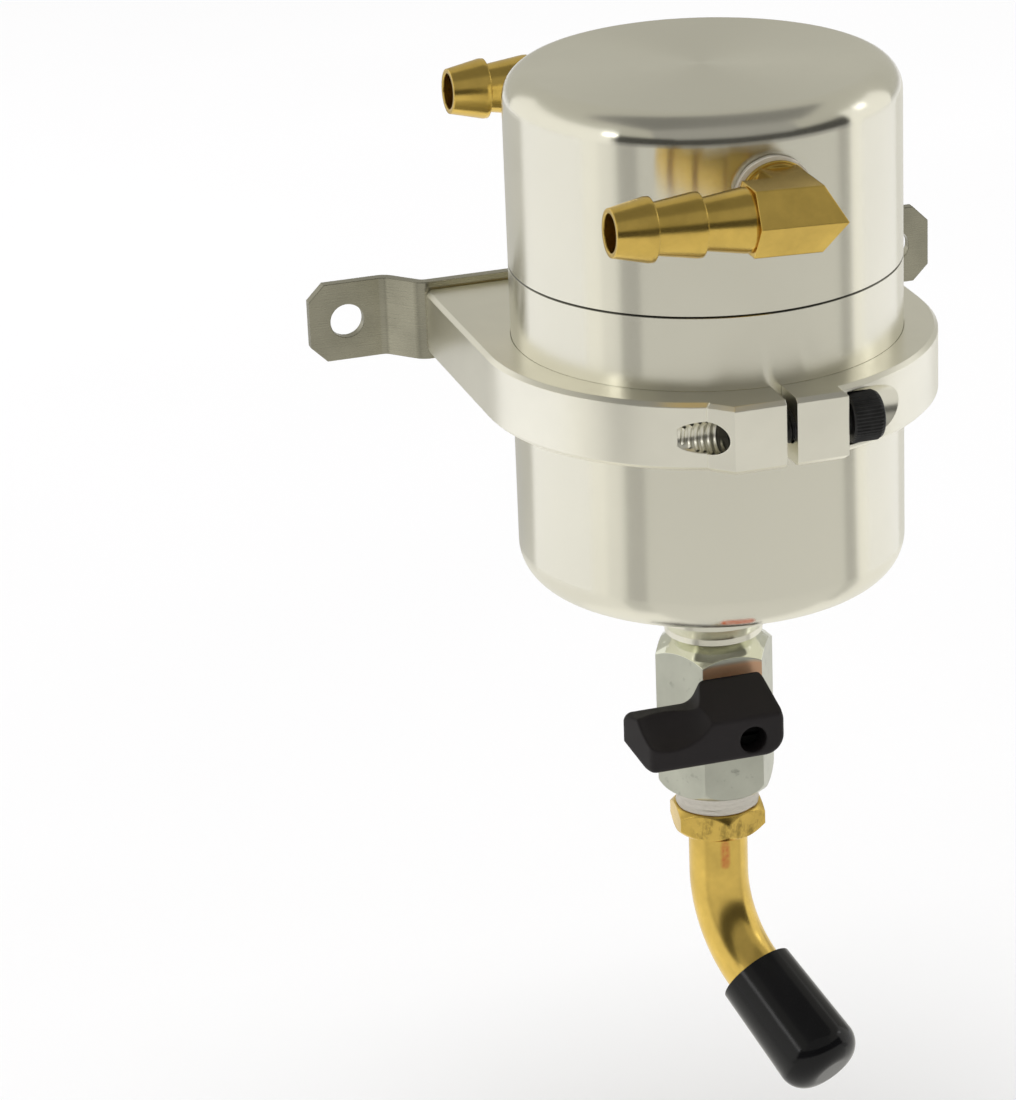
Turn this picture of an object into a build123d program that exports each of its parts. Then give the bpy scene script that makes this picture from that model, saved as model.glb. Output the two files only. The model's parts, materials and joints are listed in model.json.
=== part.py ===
from build123d import *
import os
from math import cos, hypot, radians, sin, sqrt

# Can and lid
can_d = 76.2
body_h = 64.6
body_wall = 4.2
body_floor = 5.0
bottom_round = 7.3
floor_round = 4.0
floor_fall = 3.0
seam_chamfer = 0.25
lid_h = 38.0
lid_top_round = 5.6
lid_wall = 9.5
lid_roof = 8.0
spigot_gap = 0.3
spigot_lead = 1.0
thread_pitch = 2.0
lid_turns = 4

# Lid seal
seal_d = 1.6
seal_side_gap = 0.15
seal_face_gap = 0.05

# Ports and elbows
pipe_d = 13.7
port_h = 22.4
port_spot_d = 18.0
port_spot_depth = 0.8
thread_in = 9.0
elbow_reach = 12.5
elbow_clock = 2.0
elbow_af = 12.5
elbow_hex_l = 10.3
barb_tip = 35.7
barb_first = 29.0
barb_pitch = 9.2
barb_count = 3
barb_land = 0.8
barb_crest_d = 12.0
barb_root_d = 9.4
barb_neck_d = 11.2
barb_tip_d = 9.0
barb_bore_d = 7.2
tape_t = 0.9
port_tape_l = 2.4

# Inside the lid
inlet_tube_d = 9.5
inlet_tube_bore_d = 7.5
inlet_tube_l = 46.0
inlet_boss_wall = 3.2
inlet_boss_l = 24.0
baffle_t = 1.5
baffle_step = 1.5
baffle_hole_d = 4.0
baffle_rows = 3
baffle_row_pitch = 7.5
baffle_web = 1.2
ring_t = 1.2
ring_w = 2.4
ring_bite = 0.7
ring_opening = 7.0

# Clamp
clamp_below_seam = 21.1
clamp_h = 13.3
clamp_wall = 6.6
clamp_edge = 0.8
clamp_fit = 0.06
clamp_base = 43.2
base_corner = 1.6
ear_w = 22.5
ear_front = 46.4
ear_ramp = 4.0
slot_w = 2.1
clamp_screw_d = 6.35
clamp_screw_in = 42.5
clamp_head_d = 9.6
clamp_head_l = 6.3
clamp_key_af = 4.8
clamp_key_depth = 3.2
head_ledge = 1.0
head_room = 0.5
groove_l = 9.0

# Strap
strap_t = 2.0
strap_h = 16.2
strap_l = 133.9
strap_joggle = 6.6
joggle_gap = 0.2
joggle_run = 6.0
strap_bend_r = 3.0
ear_corner = 3.3
hole_edge = 7.8
hole_d = 7.0
strap_screw_d = 6.0
strap_screw_spacing = 50.0
strap_screw_l = 9.0
strap_head_d = 10.5
strap_head_l = 3.3
strap_key_af = 4.0
strap_key_depth = 1.8
screw_hole_gap = 0.2

# Drain boss and nipple
boss_d = 26.0
boss_h = 13.6
boss_chamfer = 3.2
boss_land = 1.2
drain_bore_d = 8.4
nipple_in = 7.0
nipple_gap = 0.8

# Ball valve
valve_af = 21.5
valve_l = 33.3
valve_edge = 2.2
valve_dome_r = 17.7
valve_land_d = 16.0
stem_drop = 14.5
ball_d = 13.2
ball_bore_d = 7.2
seat_d = 15.2
seat_stem_gap = 0.3
seat_fit = 0.04
shoulder_depth = 8.7
retainer_t = 4.0
outlet_d = 16.0
stem_d = 5.0
stem_fit = 0.05
stem_flat = 3.6
tongue_w = 3.0
tongue_depth = 2.0
gland_d = 16.4
gland_l = 2.7
gland_in = 1.5
gland_lip = 2.5
gland_edge = 0.5

# Lever
lever_gap = 0.4
lever_depth = 8.5
lever_edge = 1.0
hub_left = 8.0
hub_flare = 2.2
hub_right = 6.6
arm_top = 6.3
hub_crown = 4.6
hub_shoulder = 3.6
hub_front_top = 4.8
hub_round = 4.0
neck_rise = 4.2
arm_l = 24.0
arm_bottom = 4.0
arm_lift = 4.3
arm_bevel = 3.0
tip_round = 1.8
tip_corner = 1.6
scoop_r = 11.0
scoop_depth = 5.0
scoop_x = 16.8
lever_hole_d = 5.6
lever_hole_depth = 5.0
lever_screw_head_d = 4.4
lever_screw_head_l = 1.8
lever_screw_d = 2.5
lever_screw_l = 5.0
lever_screw_slot = 0.8

# Drain elbow and cap
drain_thread_in = 7.0
drain_tape_l = 4.0
drain_tape_t = 0.5
collar_af = 17.5
collar_l = 5.4
collar_chamfer = 1.4
spout_d = 12.0
spout_bore_d = 8.4
spout_drop = 10.2
bend_r = 24.0
bend_angle = 56.0
bend_turn = 23.0
spout_end_l = 20.0
cap_wall = 1.9
cap_fit = 0.05
cap_flare = 0.8
cap_start = 0.3
cap_end_gap = 4.2
cap_dome = 5.0

# Worked out from the sizes above
can_r = can_d / 2
body_r = can_r - body_wall
can_y = -(clamp_base + strap_joggle + strap_t)
spigot_r = body_r - spigot_gap
spigot_l = spigot_lead + lid_turns * thread_pitch
chamber_r = can_r - lid_wall
pipe_r = pipe_d / 2
elbow_y = can_r + elbow_reach
clamp_r = can_r + clamp_wall
clamp_z = -clamp_below_seam
joggle_start = clamp_r + joggle_gap
hole_spacing = strap_l - 2 * hole_edge
boss_z = -body_h - boss_h
valve_z = boss_z - nipple_gap
valve_end_z = valve_z - valve_l
stem_z = valve_z - stem_drop
gland_y = valve_af / 2 + gland_l
lever_back = gland_y + lever_gap
lever_front = lever_back + lever_depth
collar_z = valve_end_z - drain_tape_l
bend_z = collar_z - collar_l - spout_drop
seal_r = body_r + 1 + seal_d / 2 + seal_side_gap
hub_top = arm_top + neck_rise
neck_round = 0.8 * neck_rise
crown_round = 0.3 * neck_rise
baffle_r = chamber_r + baffle_step
baffle_z = -spigot_l + ring_t + 2 * ring_bite + baffle_t
tube_y = chamber_r - inlet_tube_d / 2 - inlet_boss_wall / 2


def rod(r, z0, z1):
    """An upright cylinder between two heights on the can's axis."""
    return Pos(0, 0, (z0 + z1) / 2) * Cylinder(r, abs(z1 - z0))


def rod_x(r, x0, x1, y, z):
    """A cylinder along X between two places."""
    return Pos((x0 + x1) / 2, y, z) * Rot(0, 90, 0) * Cylinder(r, abs(x1 - x0))


def rod_y(r, y0, y1, x, z):
    """A cylinder along Y between two places."""
    return Pos(x, (y0 + y1) / 2, z) * Rot(90, 0, 0) * Cylinder(r, abs(y1 - y0))


def hex_bar(af, length):
    """A hexagon bar along Z from zero, with corners on X."""
    return extrude(RegularPolygon(af / sqrt(3), 6), length)


def collar(r_out, r_in, z0, z1):
    """A plain ring on the can's axis."""
    return rod(r_out, z0, z1) - rod(r_in, z0 - 1, z1 + 1)


def save(shape, name):
    """Move a piece from the can's seam frame to the part's frame and write it."""
    shape = Location((0, can_y, clamp_below_seam)) * shape
    shape.label = name
    export_step(shape, "parts/" + name + ".step")


os.makedirs("parts", exist_ok=True)

# Can body with sloped floor, drain boss and seal groove
can_body = rod(can_r, -body_h, 0)
can_body = fillet(can_body.edges().group_by(Axis.Z)[0], bottom_round)
can_body = chamfer(can_body.edges().group_by(Axis.Z)[-1], seam_chamfer)
boss = rod(boss_d / 2, boss_z + boss_land, -body_h + 1)
boss = chamfer(boss.edges().group_by(Axis.Z)[0], boss_chamfer)
boss += rod(boss_d / 2 - boss_chamfer, boss_z, -body_h)
can_body += boss
floor_z = -body_h + body_floor + floor_fall
cavity = rod(body_r, floor_z, 1)
cavity = fillet(cavity.edges().group_by(Axis.Z)[0], floor_round)
can_body -= cavity
fall_r = body_r - floor_round
fall = Cone(drain_bore_d / 2, fall_r, floor_fall)
can_body -= Pos(0, 0, floor_z - floor_fall / 2) * fall
can_body -= rod(drain_bore_d / 2, boss_z - 1, floor_z)
can_body -= rod(pipe_r, boss_z - 1, boss_z + nipple_in)
groove_w = seal_d + 2 * seal_side_gap
groove_depth = seal_d + 2 * seal_face_gap
can_body -= collar(seal_r + groove_w / 2, seal_r - groove_w / 2, -groove_depth, 1)
save(can_body, "can_body")

lid_o_ring = Pos(0, 0, -groove_depth / 2) * Torus(seal_r, seal_d / 2)
save(lid_o_ring, "lid_o_ring")

# Lid with its chamber, ports, inlet boss and baffle seat
lid = rod(can_r, 0, lid_h)
lid = fillet(lid.edges().group_by(Axis.Z)[-1], lid_top_round)
lid = chamfer(lid.edges().group_by(Axis.Z)[0], seam_chamfer)
lid += rod(spigot_r, -spigot_l, 1)
lid -= rod(chamber_r, -spigot_l - 1, lid_h - lid_roof)
boss_r = inlet_tube_d / 2 + inlet_boss_wall
inlet_boss = Pos(0, -tube_y, 0) * rod(boss_r, lid_h - inlet_boss_l, lid_h - lid_roof + 1)
lid += inlet_boss & rod(can_r - lid_wall / 2, 0, lid_h - lid_roof + 1)
lid -= rod(baffle_r, -spigot_l - 1, baffle_z)
lid -= rod(baffle_r + ring_bite, baffle_z - baffle_t - ring_t, baffle_z - baffle_t)
for side in (-1, 1):
    lid -= rod_y(pipe_r, side * (can_r + 1), side * (can_r - thread_in), 0, port_h)
    lid -= rod_y(port_spot_d / 2, side * (can_r + 1), side * (can_r - port_spot_depth), 0, port_h)
lid -= rod_y(drain_bore_d / 2, can_r, chamber_r - 1, 0, port_h)
lid -= rod_y(drain_bore_d / 2, -can_r, -tube_y, 0, port_h)
tube_top = port_h - inlet_tube_d / 2
lid -= Pos(0, -tube_y, 0) * rod(inlet_tube_d / 2, 0, tube_top)
lid -= Pos(0, -tube_y, 0) * rod(inlet_tube_bore_d / 2, 0, port_h)
save(lid, "lid")

inlet_tube = collar(inlet_tube_d / 2, inlet_tube_bore_d / 2, tube_top - inlet_tube_l, tube_top)
save(Pos(0, -tube_y, 0) * inlet_tube, "inlet_tube")

# Drilled baffle plate, with no hole that would run into the tube's
baffle_plate = rod(baffle_r, baffle_z - baffle_t, baffle_z)
baffle_plate -= Pos(0, -tube_y, 0) * rod(inlet_tube_d / 2, baffle_z - baffle_t - 1, baffle_z + 1)
clear = inlet_tube_d / 2 + baffle_hole_d / 2 + baffle_web
for row in range(baffle_rows + 1):
    row_r = row * baffle_row_pitch
    if row_r + baffle_hole_d / 2 + baffle_web > chamber_r:
        continue
    for step in range(max(1, 6 * row)):
        turn = radians(360 * step / max(1, 6 * row))
        hole_x = row_r * cos(turn)
        hole_y = row_r * sin(turn)
        if hypot(hole_x, hole_y + tube_y) > clear:
            hole = rod(baffle_hole_d / 2, baffle_z - baffle_t - 1, baffle_z + 1)
            baffle_plate -= Pos(hole_x, hole_y, 0) * hole
save(baffle_plate, "baffle_plate")

ring_r = baffle_r + ring_bite
baffle_ring = collar(ring_r, ring_r - ring_w, baffle_z - baffle_t - ring_t, baffle_z - baffle_t)
baffle_ring -= Pos(0, ring_r, baffle_z - baffle_t) * Box(ring_opening, 3 * ring_w, 4 * ring_t)
save(baffle_ring, "baffle_ring")

# Mitred hexagon elbow with a barbed arm, drawn for the front port
hex_start = elbow_y - elbow_hex_l
leg_end = can_r - thread_in
arm_hex = elbow_hex_l - barb_land
leg_plane = Plane((0, -hex_start, port_h), x_dir=(1, 0, 0), z_dir=(0, -1, 0))
elbow_line = Polyline((0, -hex_start, port_h), (0, -elbow_y, port_h), (-arm_hex, -elbow_y, port_h))
hex_face = leg_plane * RegularPolygon(elbow_af / sqrt(3), 6)
elbow = sweep(hex_face, path=elbow_line, transition=Transition.RIGHT)
elbow += rod_y(pipe_r, -leg_end, -hex_start - 1, 0, port_h)
barbs = rod(barb_root_d / 2, 0, barb_first)
barbs += rod(barb_neck_d / 2, 0, barb_first - (barb_count - 1) * barb_pitch)
for crest in range(barb_count):
    crest_s = barb_first - crest * barb_pitch
    nose_s = crest_s + barb_pitch - barb_land if crest else barb_tip
    nose_d = barb_root_d if crest else barb_tip_d
    nose = Cone(barb_crest_d / 2, nose_d / 2, nose_s - crest_s)
    barbs += rod(barb_crest_d / 2, crest_s - barb_land, crest_s)
    barbs += Pos(0, 0, (nose_s + crest_s) / 2) * nose
elbow += Pos(0, -elbow_y, port_h) * Rot(0, -90, 0) * barbs
elbow -= rod_y(barb_bore_d / 2, -leg_end + 1, -elbow_y, 0, port_h)
elbow -= rod_x(barb_bore_d / 2, -barb_tip - 1, 0, -elbow_y, port_h)
elbow -= Pos(0, -elbow_y, port_h) * Sphere(barb_bore_d / 2)
elbow = elbow.rotate(Axis((0, 0, port_h), (0, 1, 0)), elbow_clock)
save(elbow, "front_elbow")
rear_elbow = mirror(elbow, Plane.XZ)
save(rear_elbow, "rear_elbow")

tape_start = can_r - port_spot_depth
port_tape = rod_y(pipe_r + tape_t, -tape_start, -tape_start - port_tape_l, 0, port_h)
port_tape -= rod_y(pipe_r, -leg_end, -hex_start, 0, port_h)
save(port_tape, "front_thread_tape")
save(mirror(port_tape, Plane.XZ), "rear_thread_tape")

# Split clamp ring, straight-sided to its rear base, with raised ears
clamp_low = clamp_z - clamp_h / 2
front_arc = CenterArc((0, 0), clamp_r, 180, 180)
base_line = Polyline((clamp_r, 0), (clamp_r, clamp_base), (-clamp_r, clamp_base), (-clamp_r, 0))
clamp_outline = make_face(front_arc + base_line)
clamp_outline = fillet(clamp_outline.vertices().group_by(Axis.Y)[-1], base_corner)
clamp_ring = Pos(0, 0, clamp_low) * extrude(clamp_outline, clamp_h)
clamp_ring = chamfer(clamp_ring.edges().group_by(Axis.Z)[-1], clamp_edge)
clamp_ring = chamfer(clamp_ring.edges().group_by(Axis.Z)[0], clamp_edge)
ramp_x = -ear_w / 2 - ear_ramp
ear_outline = Polyline(
    (ramp_x, -can_r),
    (ramp_x, -ear_front + ear_ramp),
    (-ear_w / 2, -ear_front),
    (ear_w / 2, -ear_front),
    (ear_w / 2, -can_r),
    close=True,
)
ears = Pos(0, 0, clamp_low) * extrude(make_face(ear_outline), clamp_h)
ears = chamfer(ears.edges().group_by(Axis.Z)[-1], clamp_edge)
clamp_ring += chamfer(ears.edges().group_by(Axis.Z)[0], clamp_edge)
clamp_ring -= rod(can_r + clamp_fit, clamp_low - 1, clamp_low + clamp_h + 1)
clamp_ring -= Pos(0, -clamp_r, clamp_z) * Box(slot_w, 3 * clamp_wall, clamp_h + 2)
head_x = ear_w / 2 + head_ledge
screw_end = -ear_w / 2 + head_ledge
clamp_ring -= rod_x(clamp_screw_d / 2, -ear_w / 2 - groove_l, head_x, -clamp_screw_in, clamp_z)
notch_end = head_x + clamp_head_l + 2 * clamp_wall
clamp_ring -= rod_x(clamp_head_d / 2 + head_room, head_x, notch_end, -clamp_screw_in, clamp_z)
screw_hole_y = clamp_base - strap_screw_l - 1
for side in (-1, 1):
    hole_x = side * strap_screw_spacing / 2
    clamp_ring -= rod_y(strap_screw_d / 2, screw_hole_y, clamp_base + 1, hole_x, clamp_z)
save(clamp_ring, "clamp_ring")

clamp_screw = rod_x(clamp_screw_d / 2, screw_end, head_x, -clamp_screw_in, clamp_z)
clamp_head = rod(clamp_head_d / 2, 0, clamp_head_l)
clamp_head = chamfer(clamp_head.edges().group_by(Axis.Z)[-1], clamp_head_l / 12)
clamp_head -= Pos(0, 0, clamp_head_l - clamp_key_depth) * hex_bar(clamp_key_af, clamp_key_depth + 1)
clamp_screw += Pos(head_x, -clamp_screw_in, clamp_z) * Rot(0, 90, 0) * clamp_head
save(clamp_screw, "clamp_screw")

# Joggled strap, bent from sheet
ear_y = clamp_base + strap_joggle + strap_t / 2
mid_y = clamp_base + strap_t / 2
joggle_end = joggle_start + joggle_run
strap_line = FilletPolyline(
    (-strap_l / 2, ear_y, clamp_z),
    (-joggle_end, ear_y, clamp_z),
    (-joggle_start, mid_y, clamp_z),
    (joggle_start, mid_y, clamp_z),
    (joggle_end, ear_y, clamp_z),
    (strap_l / 2, ear_y, clamp_z),
    radius=strap_bend_r,
)
strap_section = Plane((-strap_l / 2, ear_y, clamp_z), x_dir=(0, 1, 0), z_dir=(1, 0, 0))
mounting_strap = sweep(strap_section * Rectangle(strap_t, strap_h), path=strap_line)
ear_edges = mounting_strap.edges().filter_by(Axis.Y)
ear_edges = ear_edges.filter_by(lambda e: abs(abs(e.center().X) - strap_l / 2) < 0.01)
mounting_strap = chamfer(ear_edges, ear_corner)
for side in (-1, 1):
    ear_x = side * hole_spacing / 2
    screw_x = side * strap_screw_spacing / 2
    screw_hole_r = strap_screw_d / 2 + screw_hole_gap
    mounting_strap -= rod_y(hole_d / 2, ear_y - strap_t, ear_y + strap_t, ear_x, clamp_z)
    mounting_strap -= rod_y(screw_hole_r, mid_y - strap_t, mid_y + strap_t, screw_x, clamp_z)
save(mounting_strap, "mounting_strap")

# Low-head screws from behind the strap into the clamp's base
head_y = clamp_base + strap_t
for side, name in ((-1, "strap_screw_left"), (1, "strap_screw_right")):
    head = rod(strap_head_d / 2, 0, strap_head_l)
    head = fillet(head.edges().group_by(Axis.Z)[-1], strap_head_l / 2)
    head -= Pos(0, 0, strap_head_l - strap_key_depth) * hex_bar(strap_key_af, strap_key_depth + 1)
    screw = head + rod(strap_screw_d / 2, -strap_t - strap_screw_l, 0)
    screw_x = side * strap_screw_spacing / 2
    save(Pos(screw_x, head_y, clamp_z) * Rot(-90, 0, 0) * screw, name)

# Close nipple between boss and valve
drain_nipple = collar(pipe_r, drain_bore_d / 2, valve_z - nipple_in, boss_z + nipple_in)
save(drain_nipple, "drain_nipple")
save(collar(pipe_r + tape_t, pipe_r, valve_z, boss_z), "valve_thread_tape")

# Hexagon valve body, domed above and its lower corners turned off
valve_bar = Pos(0, 0, valve_end_z) * hex_bar(valve_af, valve_l)
corner_r = valve_af / sqrt(3) + 0.1
dome_z = valve_z - sqrt(valve_dome_r**2 - (valve_land_d / 2) ** 2)
turned = rod(corner_r, valve_end_z, dome_z)
turned = fillet(turned.edges().group_by(Axis.Z)[0], corner_r - valve_af / 2 + valve_edge)
turned += Pos(0, 0, dome_z) * Sphere(valve_dome_r)
valve_body = valve_bar & turned
chamber_z = valve_z - shoulder_depth
retainer_z = stem_z - (chamber_z - stem_z)
seat_t = chamber_z - stem_z - stem_d / 2 - seat_stem_gap
valve_body -= rod(pipe_r, valve_z + 1, valve_z - nipple_in)
valve_body -= rod(drain_bore_d / 2, valve_z, stem_z)
valve_body -= rod(seat_d / 2, chamber_z, retainer_z)
valve_body -= rod(outlet_d / 2, retainer_z, valve_end_z - 1)
valve_body -= rod_y(gland_d / 2 - gland_lip, -valve_af, -valve_af / 2 + gland_in, 0, stem_z)
valve_body -= rod_y(stem_d / 2 + stem_fit, -valve_af, 0, 0, stem_z)
save(valve_body, "valve_body")

# Ball, seats and retainer
ball_r = ball_d / 2
ball_space = Pos(0, 0, stem_z) * Sphere(ball_r + seat_fit)
upper_seat = collar(seat_d / 2, drain_bore_d / 2, chamber_z - seat_t, chamber_z) - ball_space
save(upper_seat, "upper_ball_seat")
lower_seat = collar(seat_d / 2, drain_bore_d / 2, retainer_z, retainer_z + seat_t) - ball_space
save(lower_seat, "lower_ball_seat")
retainer = collar(outlet_d / 2, drain_bore_d / 2, retainer_z - retainer_t, retainer_z)
save(retainer, "valve_retainer")
tongue_y = ball_r - tongue_depth
tongue = Pos(0, -ball_r, 0) * Box(2 * ball_r, 2 * tongue_depth, tongue_w)
ball = Sphere(ball_r) - rod_x(ball_bore_d / 2, -ball_d, ball_d, 0, 0) - tongue
save(Pos(0, 0, stem_z) * ball, "valve_ball")

# Stem with a tongue in the ball and flats in the lever
stem_out = lever_front - lever_hole_depth
stem = rod_y(stem_d / 2, -tongue_y, -stem_out, 0, stem_z)
tongue_room = Pos(0, -tongue_y - tongue_depth / 2, stem_z) * Box(stem_d, tongue_depth, stem_d)
tongue_room -= Pos(0, -tongue_y, stem_z) * Box(stem_d, 3 * tongue_depth, tongue_w)
stem -= tongue_room
flat_l = stem_out - lever_back
for side in (-1, 1):
    flat_z = stem_z + side * (stem_flat + stem_d) / 2
    stem -= Pos(0, -lever_back - flat_l / 2, flat_z) * Box(stem_d + 1, flat_l, stem_d)
stem -= rod_y(lever_screw_d / 2, -stem_out + lever_screw_l, -stem_out - 1, 0, stem_z)
save(stem, "valve_stem")

gland = rod_y(gland_d / 2, -valve_af / 2, -gland_y, 0, stem_z)
gland = chamfer(gland.edges().group_by(Axis.Y)[0], gland_edge)
gland += rod_y(gland_d / 2 - gland_lip, -valve_af / 2 + gland_in, -valve_af / 2, 0, stem_z)
gland -= rod_y(stem_d / 2 + stem_fit, 0, -gland_y - 1, 0, stem_z)
save(gland, "stem_gland")

# Moulded lever: arm and hub from one outline, sloped top, lifted arm, bevelled tip and a thumb scoop
lever_plane = Plane((0, -lever_back, stem_z), x_dir=(1, 0, 0), z_dir=(0, -1, 0))
lever_outline = Polyline(
    (-arm_l, -arm_bottom),
    (hub_right, -arm_bottom),
    (hub_right, hub_shoulder),
    (hub_crown, hub_top),
    (-hub_left, hub_top),
    (-hub_left - hub_flare, arm_top),
    (-arm_l, arm_top),
    close=True,
)
outline = make_face(lever_outline)
corner_rounds = (
    (hub_right, -arm_bottom, hub_round),
    (hub_right, hub_shoulder, hub_round),
    (hub_crown, hub_top, crown_round),
    (-hub_left, hub_top, crown_round),
    (-hub_left - hub_flare, arm_top, neck_round),
    (-arm_l, arm_top, tip_round),
)
for corner_x, corner_z, corner_round in corner_rounds:
    corner = outline.vertices().sort_by_distance((corner_x, corner_z, 0))[0]
    outline = fillet(corner, corner_round)
lever = extrude(lever_plane * outline, lever_depth)
slope = Polyline((-lever_back, hub_top), (-lever_front, hub_front_top), (-lever_front, hub_top), close=True)
lever -= Pos(0, 0, stem_z) * extrude(Plane.YZ * make_face(slope), arm_l + 1, both=True)
bevel_x = arm_bevel - arm_l
bevel = Polyline((-arm_l, -lever_back), (bevel_x, -lever_front), (-arm_l, -lever_front), close=True)
lever -= Pos(0, 0, stem_z) * extrude(make_face(bevel), arm_top + arm_bottom, both=True)
tip_edge = lever.edges().filter_by(Axis.Z).sort_by_distance((bevel_x, -lever_front, stem_z))[0]
lever = fillet(tip_edge, tip_corner)
lever = fillet(lever.faces().sort_by(Axis.Y)[0].edges(), lever_edge)
lift_y = -lever_front + lever_edge
lift_z = arm_lift - arm_bottom
lift = Polyline((-lever_back, -arm_bottom), (lift_y, -arm_bottom), (-lever_back, lift_z), close=True)
lift_l = arm_l - hub_left - hub_flare
lever -= Pos(-arm_l, 0, stem_z) * extrude(Plane.YZ * make_face(lift), lift_l)
scoop_off = (scoop_r - scoop_depth) / sqrt(2)
lever -= Pos(-scoop_x, -lever_front - scoop_off, stem_z + arm_top + scoop_off) * Sphere(scoop_r)
lever -= rod_y(lever_hole_d / 2, -stem_out, -lever_front - 1, 0, stem_z)
stem_socket = rod_y(stem_d / 2, -lever_back + 1, -stem_out, 0, stem_z)
stem_socket &= Pos(0, -lever_back, stem_z) * Box(stem_d, 4 * lever_depth, stem_flat)
lever -= stem_socket
save(lever, "valve_lever")

screw_head_y = -stem_out - lever_screw_head_l
lever_screw = rod_y(lever_screw_head_d / 2, -stem_out, screw_head_y, 0, stem_z)
lever_screw += rod_y(lever_screw_d / 2, -stem_out, -stem_out + lever_screw_l, 0, stem_z)
slot = Box(lever_screw_head_d, lever_screw_head_l, lever_screw_slot)
lever_screw -= Pos(0, screw_head_y, stem_z) * slot
save(lever_screw, "lever_screw")

# Drain elbow: thread, hexagon collar and a spout bent to the front
spout_r = spout_d / 2
bend_axis = Axis((0, -bend_r, bend_z), (-1, 0, 0))
bend_t = radians(bend_angle)
bend_end = (0, -bend_r * (1 - cos(bend_t)), bend_z - bend_r * sin(bend_t))
spout_dir = (0, -sin(bend_t), -cos(bend_t))
spout_plane = Plane(bend_end, x_dir=(1, 0, 0), z_dir=spout_dir)


def bent_tube(r, top_z, end_l):
    """A round bar down the axis, round the bend and on along the spout."""
    bar = rod(r, bend_z, top_z)
    bar += revolve(Pos(0, 0, bend_z) * Circle(r), bend_axis, bend_angle)
    return bar + spout_plane * Pos(0, 0, end_l / 2) * Cylinder(r, end_l)


thread_top = valve_end_z + drain_thread_in
drain_elbow = bent_tube(spout_r, collar_z - 1, spout_end_l)
collar_r = collar_af / sqrt(3)
collar_turned = rod(collar_r, collar_z - collar_l, collar_z)
collar_turned = chamfer(collar_turned.edges().filter_by(GeomType.CIRCLE), collar_chamfer)
collar_hex = Pos(0, 0, collar_z - collar_l) * hex_bar(collar_af, collar_l)
drain_elbow += collar_hex & collar_turned
drain_elbow += rod(outlet_d / 2, collar_z, thread_top)
drain_elbow -= bent_tube(spout_bore_d / 2, thread_top + 1, spout_end_l + 1)
turned_spout = Rot(0, 0, bend_turn)
save(turned_spout * drain_elbow, "drain_elbow")
drain_tape = collar(outlet_d / 2 + drain_tape_t, outlet_d / 2, collar_z, valve_end_z)
save(drain_tape, "drain_thread_tape")

# Push-on cap with a domed end
cap_r = spout_r + cap_fit + cap_wall
cap_l = spout_end_l - cap_start + cap_end_gap + cap_wall
cap = Pos(0, 0, cap_l / 2) * Cone(cap_r, cap_r + cap_flare, cap_l)
cap = fillet(cap.edges().group_by(Axis.Z)[-1], cap_dome)
cap_room = rod(spout_r + cap_fit, -1, cap_l - cap_wall)
cap_room = fillet(cap_room.edges().group_by(Axis.Z)[-1], cap_dome - cap_wall)
cap -= cap_room
save(turned_spout * (spout_plane * Pos(0, 0, cap_start) * cap), "drain_cap")
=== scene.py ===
import json
from math import ceil, cos, hypot, pi, radians, sin

import bmesh
import bpy
from bpy.props import FloatProperty, FloatVectorProperty, IntProperty, PointerProperty
from mathutils import Matrix, Vector, noise


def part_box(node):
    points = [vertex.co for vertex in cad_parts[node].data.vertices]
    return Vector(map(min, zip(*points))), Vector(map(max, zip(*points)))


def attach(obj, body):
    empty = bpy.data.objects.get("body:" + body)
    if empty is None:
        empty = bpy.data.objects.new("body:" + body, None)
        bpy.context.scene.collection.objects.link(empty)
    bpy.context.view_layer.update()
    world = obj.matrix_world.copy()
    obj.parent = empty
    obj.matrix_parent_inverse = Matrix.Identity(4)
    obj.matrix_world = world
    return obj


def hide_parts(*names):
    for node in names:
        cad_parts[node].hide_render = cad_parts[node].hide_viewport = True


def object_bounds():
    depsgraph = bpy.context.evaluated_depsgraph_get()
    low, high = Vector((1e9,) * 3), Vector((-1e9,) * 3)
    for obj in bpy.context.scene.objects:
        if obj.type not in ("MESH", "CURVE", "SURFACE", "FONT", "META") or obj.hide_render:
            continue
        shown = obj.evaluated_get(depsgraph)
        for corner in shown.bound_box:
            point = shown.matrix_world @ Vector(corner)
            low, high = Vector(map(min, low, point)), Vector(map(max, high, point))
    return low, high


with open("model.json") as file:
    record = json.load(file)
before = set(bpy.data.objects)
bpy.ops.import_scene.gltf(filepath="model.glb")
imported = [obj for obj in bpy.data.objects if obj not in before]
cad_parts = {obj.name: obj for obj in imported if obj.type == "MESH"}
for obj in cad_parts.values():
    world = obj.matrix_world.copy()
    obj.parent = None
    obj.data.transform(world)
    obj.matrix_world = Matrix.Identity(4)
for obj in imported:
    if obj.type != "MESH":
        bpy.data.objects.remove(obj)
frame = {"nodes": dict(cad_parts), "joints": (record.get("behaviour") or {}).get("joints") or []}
CAD_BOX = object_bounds()

bl_info = {
    "name": "Oil Catch Can",
    "version": (1, 0, 0),
    "blender": (4, 5, 0),
    "location": "View3D > Sidebar > Catch Can",
    "description": "Dresses a clamp-mounted oil catch can on its packed frame",
    "category": "Object",
}

MM = 0.001
JOINTS = {joint["name"]: joint for joint in frame["joints"]}
CAN_AXIS = Vector(JOINTS["can_turn"]["pos_m"])
SEAM = Vector((CAN_AXIS.x, CAN_AXIS.y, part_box("can_body")[1].z))
STEM = Vector(JOINTS["lever_turn"]["pos_m"])

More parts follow.
